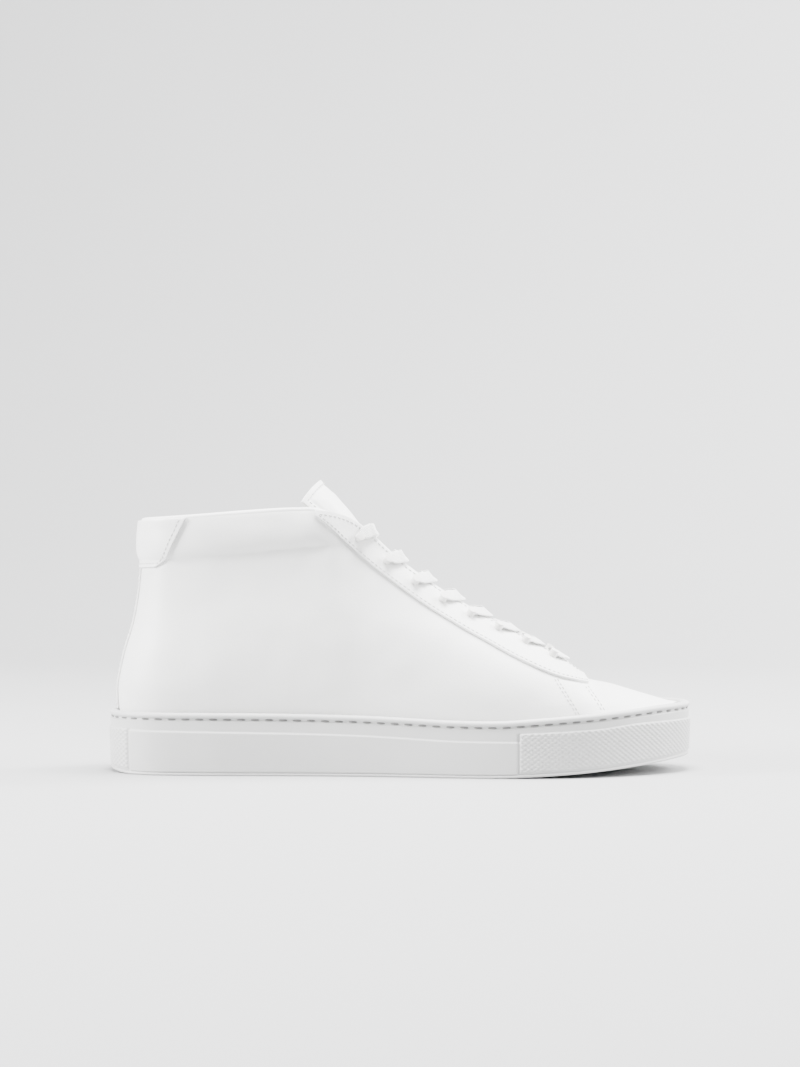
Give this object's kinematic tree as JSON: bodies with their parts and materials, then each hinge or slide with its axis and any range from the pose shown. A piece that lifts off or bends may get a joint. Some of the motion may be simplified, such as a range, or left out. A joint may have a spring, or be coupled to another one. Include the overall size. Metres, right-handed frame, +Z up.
{
  "type": "basketball high top shoe",
  "caption": "Laced leather high-top sneaker for the right foot, with a padded collar, a loose tongue and a stitched rubber cupsole.",
  "frame": {"origin": "on the ground under the middle of the shoe's overall box", "axes": "+X to the toe, +Y to the inner (medial) side of this right shoe, +Z up"},
  "size_m": [0.2998, 0.1044, 0.15],
  "materials": {
    "upper_leather": "fine grain, semi-matt",
    "cup_rubber": "satin, textured bumpers",
    "sole_thread": "waxed thread",
    "eva_foam": "matt foam",
    "board": "fibreboard",
    "footbed_fabric": "woven",
    "soft_foam": "open foam",
    "lining_leather": "smooth",
    "stiffener": "matt",
    "tape": "woven tape",
    "lace_cotton": "flat woven",
    "aglet_plastic": "clear sleeve"
  },
  "bodies": {
    "shoe": {"quarter_lateral": "upper_leather", "quarter_medial": "upper_leather", "vamp": "upper_leather", "eyestay_lateral": "upper_leather", "eyestay_medial": "upper_leather", "heel_tab": "upper_leather", "backstay": "upper_leather", "tongue_face": "upper_leather", "cupsole": "cup_rubber", "sole_stitching": "sole_thread", "midsole_filler": "eva_foam", "lasting_board": "board", "footbed_foam": "soft_foam", "footbed_cover": "footbed_fabric", "lining_lateral": "lining_leather", "lining_medial": "lining_leather", "vamp_lining": "lining_leather", "tongue_lining": "lining_leather", "heel_counter": "stiffener", "toe_puff": "stiffener", "eyelet_tape_lateral": "tape", "eyelet_tape_medial": "tape", "collar_foam": "soft_foam", "tongue_foam": "soft_foam", "lace_bar": "lace_cotton", "lace_crossings_lateral": "lace_cotton", "lace_crossings_medial": "lace_cotton", "lace_end_lateral": "lace_cotton", "lace_end_medial": "lace_cotton", "aglet_lateral": "aglet_plastic", "aglet_medial": "aglet_plastic"},
    "tongue_top": {"tongue_top_face": "upper_leather", "tongue_top_foam": "soft_foam", "tongue_top_lining": "lining_leather"}
  },
  "joints": [
    {"name": "tongue_flex", "type": "hinge", "parent": "shoe", "child": "tongue_top", "pos_m": [-0.0333, 0, 0.1317], "axis": [0, 1, 0], "range_deg": [-8, 20], "stiffness_Nm_per_rad": 0.1}
  ]
}
